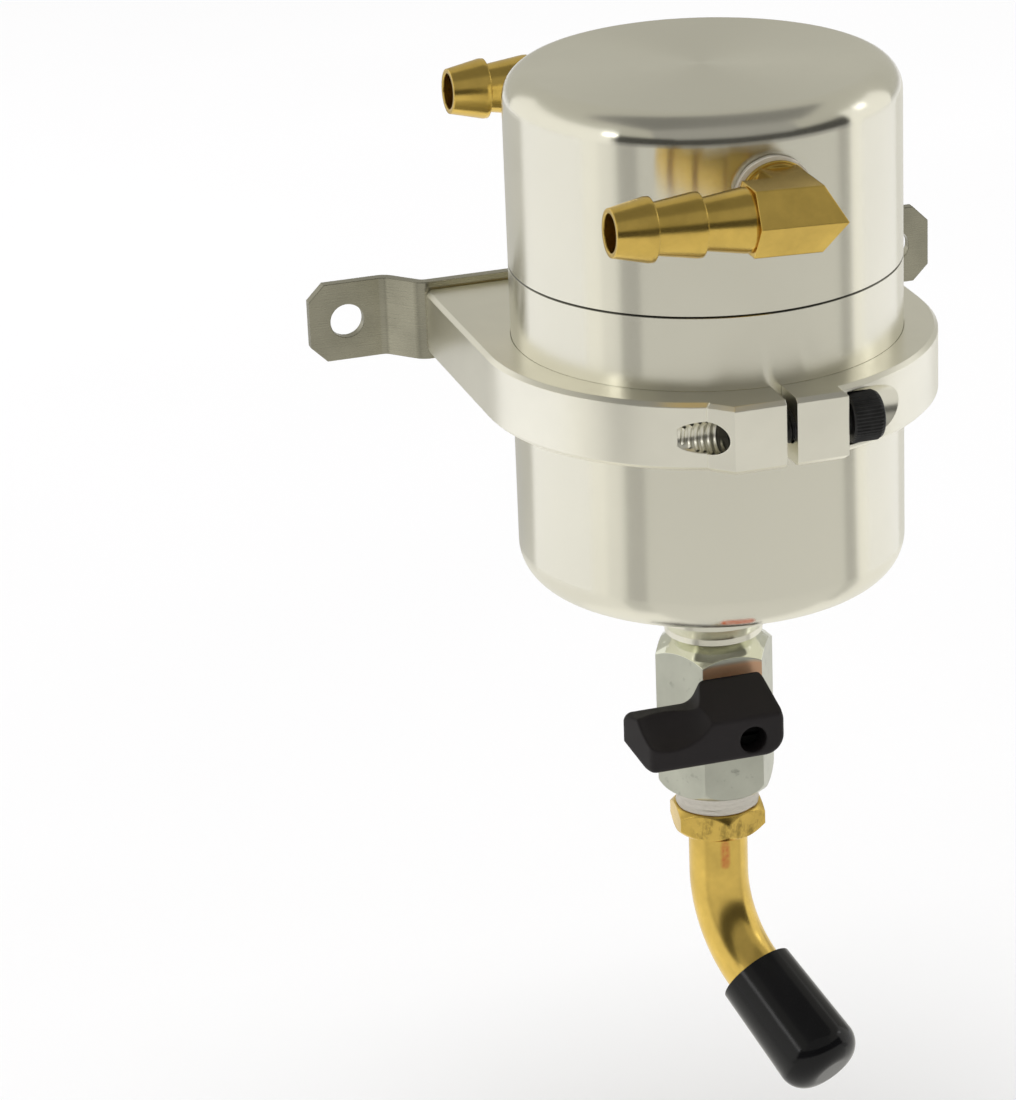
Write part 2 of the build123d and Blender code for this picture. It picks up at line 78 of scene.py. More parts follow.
# Marks on the finishes, as the two ends of a line in millimetres: on the can from the seam's centre,
# on the spout from under its tape, on the valve from the middle of its front flat.
CAN_DAB = ((-9.8, -35.1, -62.0), (-5.4, -36.1, -62.0))
SPOUT_DAB = ((-0.6, -6.0, -7.6), (-0.6, -6.0, -12.0))
COLLAR_STAIN = ((-6.0, -8.0, -3.0), (6.0, -8.0, -3.0))
GLAND_PATCH = ((-4.0, 0.0, 6.0), (4.0, 0.0, 6.0))


def colour(name, description, value):
    """A colour that a user can change in the sidebar."""
    return FloatVectorProperty(
        name=name, description=description, default=value, size=3, subtype="COLOR", min=0.0, max=1.0
    )


def length(name, description, value_mm):
    """A length that a user can change in the sidebar, written in millimetres."""
    return FloatProperty(
        name=name, description=description, default=value_mm * MM, unit="LENGTH", min=0.0, precision=5
    )


def angle(name, description, degrees):
    """An angle that a user can change in the sidebar, written in degrees."""
    return FloatProperty(name=name, description=description, default=radians(degrees), subtype="ANGLE")


class CatchCanFinishes(bpy.types.PropertyGroup):
    """Colours of the metals, plastics and tape"""

    aluminium: colour("Aluminium", "Turned can and lid", (0.83, 0.81, 0.705))
    clamp: colour("Clamp", "Milled clamp ring", (0.90, 0.88, 0.775))
    strap: colour("Strap", "Rolled stainless strap", (0.36, 0.345, 0.27))
    brass: colour("Brass", "Elbows and spout", (0.81, 0.565, 0.14))
    valve: colour("Valve", "Zinc-plated valve body", (0.52, 0.53, 0.46))
    copper: colour("Gland", "Copper-coloured stem gland", (0.70, 0.43, 0.27))
    tape: colour("Tape", "Wound thread tape", (0.71, 0.67, 0.60))
    lever: colour("Lever", "Moulded lever", (0.017, 0.014, 0.0155))
    cap: colour("Cap", "Dipped vinyl cap", (0.005, 0.005, 0.006))
    black_steel: colour("Black steel", "Oxide-blacked screws", (0.03, 0.03, 0.031))
    mark: colour("Paint mark", "Inspection dab on the spout and under the can", (0.62, 0.16, 0.06))


class CatchCanDetail(bpy.types.PropertyGroup):
    """Sizes of the small pieces that the frame leaves plain"""

    knurl_count: IntProperty(
        name="Knurls", description="Ridges round the clamp screw's head", default=44, min=3
    )
    knurl_depth: length("Knurl depth", "Height of a ridge on the screw's head", 0.22)
    head_length: length("Head length", "Length of the clamp screw's head", 6.3)
    head_round: length("Head round", "Rounded rim of the screw's head", 0.7)
    shank_width: length("Shank width", "Outer diameter of the clamp screw's thread", 6.35)
    socket_width: length("Socket width", "Across the flats of the key socket", 4.8)
    socket_depth: length("Socket depth", "Depth of the key socket", 3.2)
    screw_pitch: length("Screw pitch", "Thread pitch of the clamp screw", 1.27)
    screw_thread: length("Screw thread", "Height of the clamp screw's thread", 0.45)
    ear_half: length("Ear half", "Half the width of the clamp's ears", 11.25)
    ear_ramp: length("Ear ramp", "Run of the ramp beside the tapped ear", 4.0)
    groove_end: length("Groove end", "Where the tapped hole runs out of the ring", 20.0)
    lid_pitch: length("Lid pitch", "Thread pitch of the lid", 2.0)
    lid_thread: length("Lid thread", "Height of the lid's thread", 0.26)
    lid_turns: FloatProperty(
        name="Lid turns", description="Turns of thread on the spigot", default=3.6, min=0.0
    )
    spigot_inset: length("Spigot inset", "From the lid's side to the spigot's side", 4.5)
    pipe_width: length("Pipe width", "Outer diameter of the pipe threads", 13.7)
    pipe_pitch: length("Pipe pitch", "Spacing of the bare pipe threads beside the tape", 0.75)
    pipe_thread: length("Pipe thread", "Height of a bare pipe thread", 0.4)
    outlet_width: length("Outlet width", "Outer diameter of the spout's thread", 16.0)
    tape_wraps: IntProperty(
        name="Tape wraps", description="Edges of tape seen on each joint", default=3, min=1
    )
    tape_lump: length("Tape lump", "Unevenness of the wound tape", 0.16)


class CatchCanStage(bpy.types.PropertyGroup):
    """Camera, floor and studio light"""

    azimuth: angle("Azimuth", "Turn of the camera about the can", -16.374)
    elevation: angle("Elevation", "Height of the camera above level", 21.991)
    roll: angle("Roll", "Roll of the camera", -2.407)
    distance: length("Distance", "From the aim point to the camera", 803.97)
    aim_right: length("Aim right", "Aim point beside the seam's centre", 38.0)
    aim_down: length("Aim down", "Aim point below the seam's centre", 57.1)
    lens: FloatProperty(
        name="Lens", description="Focal length on a 36 mm high frame", default=136.48, unit="CAMERA"
    )
    floor_gap: length("Floor gap", "Space between the cap and the floor", 30.0)
    floor: colour("Floor", "Pale floor", (0.90, 0.905, 0.95))
    sky: colour("Surround", "Grey of the studio's walls", (0.51, 0.50, 0.45))
    light: FloatProperty(name="Light", description="Power of the soft lamps", default=1.0, min=0.0)


def finishes():
    return bpy.context.scene.catch_can_finishes


def detail():
    return bpy.context.scene.catch_can_detail


def stage_settings():
    return bpy.context.scene.catch_can_stage


class Finish:
    """A principled material with short helpers for its nodes."""

    def __init__(self, name, base, metallic=0.0, roughness=0.5):
        self.material = bpy.data.materials.new(name)
        self.material.use_nodes = True
        self.nodes = self.material.node_tree.nodes
        self.links = self.material.node_tree.links
        self.shader = self.nodes["Principled BSDF"]
        self.base = tuple(base)
        self.shader.inputs["Base Color"].default_value = (*base, 1.0)
        self.shader.inputs["Metallic"].default_value = metallic
        self.shader.inputs["Roughness"].default_value = roughness

    def node(self, kind, **values):
        made = self.nodes.new(kind)
        for key, value in values.items():
            if hasattr(made, key):
                setattr(made, key, value)
            else:
                made.inputs[key].default_value = value
        return made

    def link(self, a, b):
        self.links.new(a, b)

    def place(self, scale=(1, 1, 1)):
        """Object coordinates, stretched by a scale per axis."""
        where = self.node("ShaderNodeTexCoord")
        mapping = self.node("ShaderNodeMapping")
        mapping.inputs["Scale"].default_value = scale
        self.link(where.outputs["Object"], mapping.inputs["Vector"])
        return mapping.outputs["Vector"]

    def noise(self, vector, scale, detail=3.0, roughness=0.55):
        made = self.node("ShaderNodeTexNoise", Scale=scale, Detail=detail, Roughness=roughness)
        self.link(vector, made.inputs["Vector"])
        return made.outputs["Fac"]

    def spread(self, value, low, high, low_in=0.3, high_in=0.7):
        made = self.node("ShaderNodeMapRange")
        made.inputs["From Min"].default_value = low_in
        made.inputs["From Max"].default_value = high_in
        made.inputs["To Min"].default_value = low
        made.inputs["To Max"].default_value = high
        self.link(value, made.inputs["Value"])
        return made.outputs["Result"]

    def mix(self, factor, under, over):
        """A colour that goes from one to another; either may be a socket."""
        made = self.node("ShaderNodeMix", data_type="RGBA")
        self.link(factor, made.inputs["Factor"])
        for socket, value in (("A", under), ("B", over)):
            if isinstance(value, bpy.types.NodeSocket):
                self.link(value, made.inputs[socket])
            else:
                made.inputs[socket].default_value = (*value, 1.0)
        self.link(made.outputs["Result"], self.shader.inputs["Base Color"])
        return made.outputs["Result"]

    def tint(self, value, low, high):
        """Base colour that runs between two shades of itself."""
        dark = [c * low for c in self.base]
        pale = [min(1.0, c * high) for c in self.base]
        return self.mix(self.spread(value, 0.0, 1.0), dark, pale)

    def rough(self, value, low, high):
        self.link(self.spread(value, low, high), self.shader.inputs["Roughness"])

    def bump(self, value, distance, strength=1.0):
        made = self.node("ShaderNodeBump", Strength=strength, Distance=distance)
        self.link(value, made.inputs["Height"])
        if self.shader.inputs["Normal"].is_linked:
            self.link(self.shader.inputs["Normal"].links[0].from_socket, made.inputs["Normal"])
        self.link(made.outputs["Normal"], self.shader.inputs["Normal"])

    def soft_edges(self, radius):
        """Round the sharp edges in the shading, as a deburred or plated edge is."""
        made = self.node("ShaderNodeBevel", samples=6)
        made.inputs["Radius"].default_value = radius
        self.link(made.outputs["Normal"], self.shader.inputs["Normal"])

    def facing(self, axis):
        """How far a surface faces along an axis."""
        where = self.node("ShaderNodeNewGeometry")
        made = self.node("ShaderNodeVectorMath", operation="DOT_PRODUCT")
        made.inputs[1].default_value = axis
        self.link(where.outputs["Normal"], made.inputs[0])
        return made.outputs["Value"]

    def near(self, start, end, width, soft):
        """One near the line between two points, and zero away from it."""
        where = self.node("ShaderNodeTexCoord")
        middle = (Vector(start) + Vector(end)) / 2
        along = (Vector(end) - Vector(start)) / 2
        offset = self.node("ShaderNodeVectorMath", operation="SUBTRACT")
        offset.inputs[1].default_value = middle
        self.link(where.outputs["Object"], offset.inputs[0])
        run = self.node("ShaderNodeVectorMath", operation="DOT_PRODUCT")
        run.inputs[1].default_value = along.normalized()
        self.link(offset.outputs["Vector"], run.inputs[0])
        clamped = self.node("ShaderNodeClamp")
        clamped.inputs["Min"].default_value = -along.length
        clamped.inputs["Max"].default_value = along.length
        self.link(run.outputs["Value"], clamped.inputs["Value"])
        back = self.node("ShaderNodeVectorMath", operation="SCALE")
        back.inputs[0].default_value = along.normalized()
        self.link(clamped.outputs["Result"], back.inputs["Scale"])
        gap = self.node("ShaderNodeVectorMath", operation="DISTANCE")
        self.link(offset.outputs["Vector"], gap.inputs[0])
        self.link(back.outputs["Vector"], gap.inputs[1])
        return self.spread(gap.outputs["Value"], 1.0, 0.0, width, width + soft)

    def mark(self, origin, ends, width, soft):
        """Near a line whose ends are given in millimetres from an origin."""
        start, end = (origin + Vector(point) * MM for point in ends)
        return self.near(start, end, width * MM, soft * MM)

    def times(self, a, b):
        made = self.node("ShaderNodeMath", operation="MULTIPLY")
        self.link(a, made.inputs[0])
        self.link(b, made.inputs[1])
        return made.outputs["Value"]

    def turned(self, amount):
        """Stretch reflections across tool marks that run round the vertical axis."""
        made = self.node("ShaderNodeTangent", direction_type="RADIAL", axis="Z")
        self.link(made.outputs["Tangent"], self.shader.inputs["Tangent"])
        self.shader.inputs["Anisotropic"].default_value = amount
        self.shader.inputs["Anisotropic Rotation"].default_value = 0.25


def turned_coordinates(finish, centre):
    """Radius and height of a turned surface as one vector, so tool marks run round the axis."""
    where = finish.node("ShaderNodeTexCoord")
    offset = finish.node("ShaderNodeVectorMath", operation="SUBTRACT")
    offset.inputs[1].default_value = centre
    finish.link(where.outputs["Object"], offset.inputs[0])
    flat = finish.node("ShaderNodeVectorMath", operation="MULTIPLY")
    flat.inputs[1].default_value = (1, 1, 0)
    finish.link(offset.outputs["Vector"], flat.inputs[0])
    radius = finish.node("ShaderNodeVectorMath", operation="LENGTH")
    finish.link(flat.outputs["Vector"], radius.inputs[0])
    parts = finish.node("ShaderNodeSeparateXYZ")
    finish.link(offset.outputs["Vector"], parts.inputs["Vector"])
    joined = finish.node("ShaderNodeCombineXYZ")
    finish.link(radius.outputs["Value"], joined.inputs["X"])
    finish.link(parts.outputs["Z"], joined.inputs["Z"])
    return joined.outputs["Vector"]


def turned_aluminium(name):
    """Bright turned metal, with a painted shadow in the seam where can and lid meet."""
    made = Finish(name, finishes().aluminium, 1.0, 0.22)
    spot = turned_coordinates(made, SEAM)
    rings = made.noise(spot, 1500.0, 2.0, 0.7)
    cloud = made.noise(made.place(), 38.0, 4.0)
    metal = made.tint(cloud, 0.96, 1.02)
    # Painted shadow: the base colour turns nearly black within a fraction of a millimetre of the seam's
    # height.
    parts = made.node("ShaderNodeSeparateXYZ")
    made.link(spot, parts.inputs["Vector"])
    away = made.node("ShaderNodeMath", operation="ABSOLUTE")
    made.link(parts.outputs["Z"], away.inputs[0])
    seam = made.spread(away.outputs["Value"], 1.0, 0.0, 0.14 * MM, 0.27 * MM)
    made.mix(seam, metal, [c * 0.16 for c in made.base])
    made.rough(cloud, 0.19, 0.25)
    made.turned(0.88)
    made.bump(rings, 0.000006, 0.25)
    return made


def can_aluminium():
    """The can's metal, with a dab of inspection paint on its lower edge."""
    made = turned_aluminium("can_aluminium")
    dab = made.mark(SEAM, CAN_DAB, 0.5, 0.9)
    under = made.shader.inputs["Base Color"].links[0].from_socket
    ragged = made.times(dab, made.spread(made.noise(made.place(), 700.0), 0.5, 1.0))
    made.mix(ragged, under, finishes().mark)
    made.link(made.spread(dab, 1.0, 0.2, 0.0, 1.0), made.shader.inputs["Metallic"])
    return made.material


def lid_aluminium():
    """The lid's metal, polished brighter round the rim."""
    made = turned_aluminium("lid_aluminium")
    up = made.facing((0, 0, 1))
    rim = made.times(made.spread(up, 0.0, 1.0, 0.05, 0.15), made.spread(up, 1.0, 0.0, 0.25, 0.6))
    rough = made.shader.inputs["Roughness"]
    made.link(made.times(rough.links[0].from_socket, made.spread(rim, 1.0, 0.64, 0.0, 1.0)), rough)
    return made.material


def milled_aluminium():
    made = Finish("milled_aluminium", finishes().clamp, 1.0, 0.3)
    made.soft_edges(0.25 * MM)
    marks = made.noise(made.place((1, 1, 26)), 190.0, 1.0, 0.5)
    cloud = made.noise(made.place(), 60.0, 3.0)
    made.tint(cloud, 0.95, 1.02)
    made.rough(marks, 0.28, 0.3)
    made.bump(marks, 0.000005, 0.04)
    return made.material


def rolled_stainless():
    made = Finish("rolled_stainless", finishes().strap, 1.0, 0.42)
    made.soft_edges(0.3 * MM)
    grain = made.noise(made.place((3, 3, 90)), 60.0, 3.0, 0.7)
    cloud = made.noise(made.place(), 90.0, 4.0)
    made.tint(cloud, 0.86, 1.1)
    made.rough(grain, 0.22, 0.3)
    made.bump(grain, 0.00002, 0.12)
    return made.material


def brass(name):
    made = Finish(name, finishes().brass, 1.0, 0.26)
    made.soft_edges(0.45 * MM)
    cloud = made.noise(made.place(), 160.0, 5.0, 0.6)
    fine = made.noise(made.place(), 1500.0, 2.0)
    made.tint(cloud, 0.86, 1.06)
    made.rough(cloud, 0.27, 0.2)
    made.bump(fine, 0.00001, 0.25)
    return made


def machined_brass():
    return brass("machined_brass").material


def spout_brass():
    """Brass with darker handling marks on the collar and a dab of paint down the spout's front."""
    made = brass("spout_brass")
    low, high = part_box("drain_thread_tape")
    centre = Vector(((low.x + high.x) / 2, (low.y + high.y) / 2, low.z))
    stain = made.noise(made.place((1, 1, 0.7)), 420.0, 5.0, 0.7)
    collar = made.mark(centre, COLLAR_STAIN, 2.2, 1.5)
    under = made.shader.inputs["Base Color"].links[0].from_socket
    dark = made.times(collar, made.spread(stain, 0.0, 0.75, 0.45, 0.62))
    stained = made.mix(dark, under, [c * 0.35 for c in made.base])
    dab = made.mark(centre, SPOUT_DAB, 0.5, 0.7)
    ragged = made.times(dab, made.spread(made.noise(made.place(), 900.0), 0.35, 0.9))
    made.mix(ragged, stained, finishes().mark)
    return made.material


def plated_valve():
    """Dull plating, polished on the turned dome with a painted sheen on its upward faces, and
    copper-washed beside the gland.
    """
    made = Finish("plated_valve", finishes().valve, 1.0, 0.33)
    made.soft_edges(0.35 * MM)
    cloud = made.noise(made.place(), 120.0, 4.0)
    fine = made.noise(made.place(), 1100.0, 3.0)
    plating = made.tint(cloud, 0.88, 1.06)
    pits = made.spread(made.noise(made.place(), 330.0, 4.0, 0.6), 0.0, 1.0, 0.6, 0.72)
    made.mix(pits, plating, [0.72 * c for c in made.base])
    front = Vector((STEM.x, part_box("valve_body")[0].y, STEM.z))
    patch = made.mark(front, GLAND_PATCH, 5.2, 0.8)
    washed = made.times(patch, made.spread(made.facing((0, -1, 0)), 0.0, 1.0, 0.8, 0.95))
    under = made.shader.inputs["Base Color"].links[0].from_socket
    warm = made.mix(washed, under, finishes().copper)
    made.link(made.spread(washed, 1.0, 0.45, 0.0, 1.0), made.shader.inputs["Metallic"])
    # Partly real, partly painted: the upward-facing dome is polished smoother, and its colour is lifted
    # as a painted sheen.
    dome = made.spread(made.facing((0, 0, 1)), 0.0, 1.0, 0.15, 0.5)
    made.mix(dome, warm, [min(1.0, 1.55 * c) for c in made.base])
    made.link(made.spread(dome, 0.32, 0.1, 0.0, 1.0), made.shader.inputs["Roughness"])
    made.bump(fine, 0.00002, 0.3)
    made.bump(pits, -0.00012, 0.5)
    return made.material


def copper_gland():
    made = Finish("copper_gland", finishes().copper, 1.0, 0.34)
    made.soft_edges(0.2 * MM)
    cloud = made.noise(made.place(), 260.0, 3.0)
    made.tint(cloud, 0.8, 1.15)
    made.rough(cloud, 0.28, 0.42)
    return made.material


def thread_tape():
    made = Finish("thread_tape", finishes().tape, 0.0, 0.6)
    fibres = made.noise(made.place((1, 1, 5)), 900.0, 4.0, 0.7)
    made.tint(fibres, 0.9, 1.05)
    made.bump(fibres, 0.00006, 0.5)
    made.shader.inputs["Subsurface Weight"].default_value = 0.15
    made.shader.inputs["Subsurface Radius"].default_value = (0.001, 0.001, 0.001)
    return made.material


def moulded_lever():
    made = Finish("moulded_lever", finishes().lever, 0.0, 0.5)
    made.shader.inputs["Specular IOR Level"].default_value = 0.25
    made.soft_edges(1.0 * MM)
    grain = made.noise(made.place(), 1800.0, 3.0)
    cloud = made.noise(made.place(), 120.0, 3.0)
    made.tint(cloud, 0.88, 1.2)
    made.rough(cloud, 0.46, 0.6)
    made.bump(grain, 0.00003, 0.3)
    return made.material


def sunk_screw():
    """Screw at the bottom of the lever's hole, painted near-black with little gloss as the shade in the
    hole.
    """
    # Painted shade: darker and duller than the blacked steel of the other screws.
    made = Finish("sunk_screw", (0.0025, 0.0025, 0.0025), 0.0, 0.6)
    made.shader.inputs["Specular IOR Level"].default_value = 0.08
    made.tint(made.noise(made.place(), 500.0), 0.7, 1.4)
    return made.material


def dipped_vinyl():
    made = Finish("dipped_vinyl", finishes().cap, 0.0, 0.14)
    made.shader.inputs["Specular IOR Level"].default_value = 0.28
    ripple = made.noise(made.place((1.0, 0.6, 0.6)), 90.0, 2.0)
    made.tint(ripple, 0.8, 1.3)
    made.rough(ripple, 0.1, 0.2)
    made.bump(ripple, 0.0004, 0.3)
    return made.material


def blacked_steel():
    made = Finish("blacked_steel", finishes().black_steel, 0.7, 0.4)
    cloud = made.noise(made.place(), 500.0, 3.0)
    made.tint(cloud, 0.8, 1.4)
    made.rough(cloud, 0.32, 0.46)
    return made.material


def seal_rubber():
    made = Finish("seal_rubber", (0.012, 0.012, 0.012), 0.0, 0.55)
    cloud = made.noise(made.place(), 300.0, 3.0)
    made.tint(cloud, 0.8, 1.3)
    made.rough(cloud, 0.48, 0.62)
    return made.material


def bright_chrome():
    made = Finish("bright_chrome", (0.78, 0.78, 0.79), 1.0, 0.08)
    cloud = made.noise(made.place(), 200.0, 3.0)
    made.tint(cloud, 0.95, 1.02)
    made.rough(cloud, 0.05, 0.11)
    return made.material


NODE_FINISHES = {
    can_aluminium: ("can_body",),
    lid_aluminium: ("lid",),
    milled_aluminium: ("clamp_ring", "baffle_plate", "inlet_tube"),
    rolled_stainless: ("mounting_strap", "baffle_ring", "valve_stem"),
    machined_brass: ("front_elbow", "rear_elbow", "drain_nipple", "valve_retainer"),
    spout_brass: ("drain_elbow",),
    plated_valve: ("valve_body",),
    copper_gland: ("stem_gland",),
    thread_tape: (
        "front_thread_tape",
        "rear_thread_tape",
        "valve_thread_tape",
        "drain_thread_tape",
        "upper_ball_seat",
        "lower_ball_seat",
    ),
    moulded_lever: ("valve_lever",),
    sunk_screw: ("lever_screw",),
    dipped_vinyl: ("drain_cap",),
    blacked_steel: ("clamp_screw", "strap_screw_left", "strap_screw_right"),
    seal_rubber: ("lid_o_ring",),
    bright_chrome: ("valve_ball",),
}


class CATCHCAN_OT_finishes(bpy.types.Operator):
    """Give every piece of the frame its metal, plastic or tape finish"""

    bl_idname = "catchcan.finishes"
    bl_label = "Finish Frame Pieces"

    def execute(self, context):
        for make, names in NODE_FINISHES.items():
            material = make()
            for name in names:
                slots = frame["nodes"][name].data.materials
                slots.clear()
                slots.append(material)
        return {"FINISHED"}


def axis_matrix(origin, direction):
    """A frame at a point whose Z runs along a direction."""
    turn = Vector(direction).to_track_quat("Z", "Y").to_matrix().to_4x4()
    return Matrix.Translation(origin) @ turn


def add_piece(name, bm, body, finish, sharp=35.0):
    """Make an object of a mesh, shade it with a named finish, and let it ride on a body."""
    bmesh.ops.recalc_face_normals(bm, faces=bm.faces)
    mesh = bpy.data.meshes.new(name)
    bm.to_mesh(mesh)
    bm.free()
    mesh.polygons.foreach_set("use_smooth", [True] * len(mesh.polygons))
    mesh.set_sharp_from_angle(angle=radians(sharp))
    mesh.materials.append(bpy.data.materials[finish])
    piece = bpy.data.objects.new(name, mesh)
    bpy.context.collection.objects.link(piece)
    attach(piece, body)
    return piece


def lathe(bm, matrix, rings, segments, closed=False):
    """Skin rings about local Z; a ring's radius and height may change with the angle."""
    loops = []
    for radius, height in rings:
        loop = []
        for step in range(segments):
            turn = 2 * pi * step / segments
            r = radius(turn) if callable(radius) else radius
            h = height(turn) if callable(height) else height
            loop.append(bm.verts.new(matrix @ Vector((r * cos(turn), r * sin(turn), h))))
        loops.append(loop)
    if closed:
        loops.append(loops[0])
    else:
        bm.faces.new(loops[0])
        bm.faces.new(loops[-1])
    for low, high in zip(loops, loops[1:]):
        for i in range(segments):
            j = (i + 1) % segments
            bm.faces.new((low[i], low[j], high[j], high[i]))


def helix(bm, matrix, radius, height, pitch, start, end, steps=48, keep=None):
    """A thread of triangular section about local Z, left out where keep says so."""
    foot = 0.42 * pitch
    buried = 0.12 * height
    count = max(2, ceil((end - start) / pitch * steps))
    last = None
    for step in range(count + 1):
        at = start + (end - start) * step / count
        turn = 2 * pi * at / pitch
        fade = min(1.0, step / 8, (count - step) / 8)
        spots = ((radius - buried, -foot), (radius + height * fade, 0.0), (radius - buried, foot))
        points = [matrix @ Vector((r * cos(turn), r * sin(turn), at + shift)) for r, shift in spots]
        if keep and not all(keep(point) for point in points):
            last = None
            continue
        row = [bm.verts.new(point) for point in points]
        if last:
            for i in range(3):
                j = (i + 1) % 3
                bm.faces.new((last[i], last[j], row[j], row[i]))
        last = row


def knurled_screw(bm, sizes):
    """Socket-head cap screw along +X, with a ridged head and a threaded shank."""
    low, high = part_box("clamp_screw")
    head_r = (high.z - low.z) / 2
    shank_r = sizes.shank_width / 2
    matrix = axis_matrix(Vector((high.x, (low.y + high.y) / 2, (low.z + high.z) / 2)), (1, 0, 0))
    segments = sizes.knurl_count * 6

    def knurl(turn):
        return head_r - sizes.knurl_depth * (0.5 - 0.5 * cos(sizes.knurl_count * turn)) ** 0.6

    def hexagon(turn):
        return sizes.socket_width / 2 / cos((turn % (pi / 3)) - pi / 6)

    inner = head_r - sizes.knurl_depth
    base = -sizes.head_length
    root_r = shank_r - sizes.screw_thread
    tip = low.x - high.x
    rings = [(shank_r * 0.9, tip), (root_r, tip + shank_r * 0.2), (root_r, base)]
    rings += [(inner - 0.3 * MM, base), (inner, base + 0.25 * MM)]
    rings += [(knurl, base + 0.55 * MM), (knurl, -sizes.head_round - 0.25 * MM)]
    for step in range(5):
        turn = pi / 2 * step / 4
        rings.append((inner - sizes.head_round * (1 - cos(turn)), -sizes.head_round * (1 - sin(turn))))
    rings += [(lambda turn: hexagon(turn) + 0.25 * MM, 0.0), (hexagon, -0.25 * MM)]
    rings += [(hexagon, -sizes.socket_depth), (sizes.socket_width * 0.2, -sizes.socket_depth - 0.5 * MM)]
    lathe(bm, matrix, rings, segments)
    pitch = sizes.screw_pitch
    helix(bm, matrix, root_r, sizes.screw_thread * 0.85, pitch, tip + pitch, base - pitch)


def tapped_ear(bm, sizes):
    """Thread left in the clamp where the tapped hole breaks out through the ramp and the ring."""
    low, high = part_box("clamp_screw")
    ring_low, ring_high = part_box("clamp_ring")
    ring_r = (ring_high.x - ring_low.x) / 2
    centre = Vector((0, (low.y + high.y) / 2, (low.z + high.z) / 2))
    matrix = axis_matrix(centre, (1, 0, 0))
    margin = 0.12 * MM

    def in_metal(point):
        x, y = point.x, point.y
        if hypot(x - CAN_AXIS.x, y - CAN_AXIS.y) < ring_r - margin:
            return True
        ramp_y = ring_low.y + max(0.0, -sizes.ear_half - x)
        return x > -sizes.ear_half - sizes.ear_ramp and y > ramp_y + margin

    helix(
        bm, matrix, sizes.shank_width / 2, -sizes.screw_thread, sizes.screw_pitch,
        -sizes.groove_end, low.x - sizes.screw_pitch, keep=in_metal,
    )


class CATCHCAN_OT_clamp_screw(bpy.types.Operator):
    """Make the knurled clamp screw and the thread in the tapped ear"""

    bl_idname = "catchcan.clamp_screw"
    bl_label = "Add Clamp Screw"

    def execute(self, context):
        bm = bmesh.new()
        knurled_screw(bm, detail())
        screw = add_piece("knurled_clamp_screw", bm, "bracket", "blacked_steel")
        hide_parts("clamp_screw")
        bm = bmesh.new()
        tapped_ear(bm, detail())
        add_piece("tapped_ear_thread", bm, "bracket", "milled_aluminium")
        return {"FINISHED"}


def wound_tape(bm, matrix, inner, outer, span, sizes, seed):
    """Overlapping wraps of tape with uneven, slightly spiral edges."""
    wraps = sizes.tape_wraps
    step = span / wraps
    segments = 144

    def wave(turn, spot, scale):
        where = Vector((cos(turn) * scale, sin(turn) * scale, spot * 3.7 + seed))
        return noise.noise(where)

    def radius(level, spot):
        base = inner + (outer - inner) * level
        return lambda turn: min(outer, base + sizes.tape_lump * (wave(turn, spot, 2.2) - 0.3))

    def height(at, spot):
        slack = 0.28 * step
        return lambda turn: min(span, max(0.0, at + slack * wave(turn, spot + 0.5, 1.6)))

    rings = [(inner, 0.0)]
    for wrap in range(wraps):
        at = wrap * step
        low_level = 0.55 if wrap % 2 else 0.7
        rings.append((radius(low_level, wrap), height(at + 0.08 * step, wrap)))
        rings.append((radius(low_level + 0.28, wrap + 0.2), height(at + 0.3 * step, wrap)))
        rings.append((radius(low_level + 0.24, wrap + 0.4), height(at + 0.8 * step, wrap + 0.3)))
    rings.append((radius(0.5, wraps), height(span - 0.06 * step, wraps)))
    rings.append((inner, span))
    lathe(bm, matrix, rings, segments, closed=True)


class CATCHCAN_OT_tapes(bpy.types.Operator):
    """Wind the white tape on the four pipe joints"""

    bl_idname = "catchcan.tapes"
    bl_label = "Wind Tapes"

    def execute(self, context):
        sizes = detail()
        upright = Vector((0, 0, 1))
        joints = (
            ("front_thread_tape", "lid_group", Vector((0, -1, 0)), sizes.pipe_width, 0.62),
            ("rear_thread_tape", "lid_group", Vector((0, 1, 0)), sizes.pipe_width, 0.62),
            ("valve_thread_tape", "can", upright, sizes.pipe_width, 1.0),
            ("drain_thread_tape", "can", upright, sizes.outlet_width, 1.0),
        )
        for seed, (node, body, axis, inner, share) in enumerate(joints):
            low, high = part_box(node)
            span = abs((high - low).dot(axis))
            outer = max(high.x - low.x, high.z - low.z if axis.y else 0.0) / 2
            start = (low + high) / 2 - axis * span / 2
            bm = bmesh.new()
            wound_tape(bm, axis_matrix(start, axis), inner / 2, outer, span * share, sizes, seed)
            piece = add_piece("wound_" + node, bm, body, "thread_tape", 60.0)
            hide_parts(node)
            if share < 1.0:
                self.add_bare_thread(node, body, axis_matrix(start, axis), span, share, sizes)
        return {"FINISHED"}

    def add_bare_thread(self, node, body, matrix, span, share, sizes):
        """Brass thread that shows between the tape and the elbow's hexagon."""
        bm = bmesh.new()
        lead = 0.3 * MM
        radius = sizes.pipe_width / 2
        helix(bm, matrix, radius, sizes.pipe_thread, sizes.pipe_pitch, span * share + lead, span + lead)
        add_piece(node.replace("tape", "bare"), bm, body, "machined_brass")


class CATCHCAN_OT_lid_thread(bpy.types.Operator):
    """Cut the thread that shows on the lid's spigot when the lid is unscrewed"""

    bl_idname = "catchcan.lid_thread"
    bl_label = "Add Lid Thread"

    def execute(self, context):
        sizes = detail()
        low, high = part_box("lid")
        radius = (high.x - low.x) / 2 - sizes.spigot_inset
        matrix = axis_matrix(Vector((CAN_AXIS.x, CAN_AXIS.y, low.z)), (0, 0, 1))
        start = 0.6 * sizes.lid_pitch
        end = start + sizes.lid_turns * sizes.lid_pitch
        bm = bmesh.new()
        helix(bm, matrix, radius, sizes.lid_thread, sizes.lid_pitch, start, end, 160)
        add_piece("lid_thread", bm, "lid_group", "lid_aluminium")
        return {"FINISHED"}


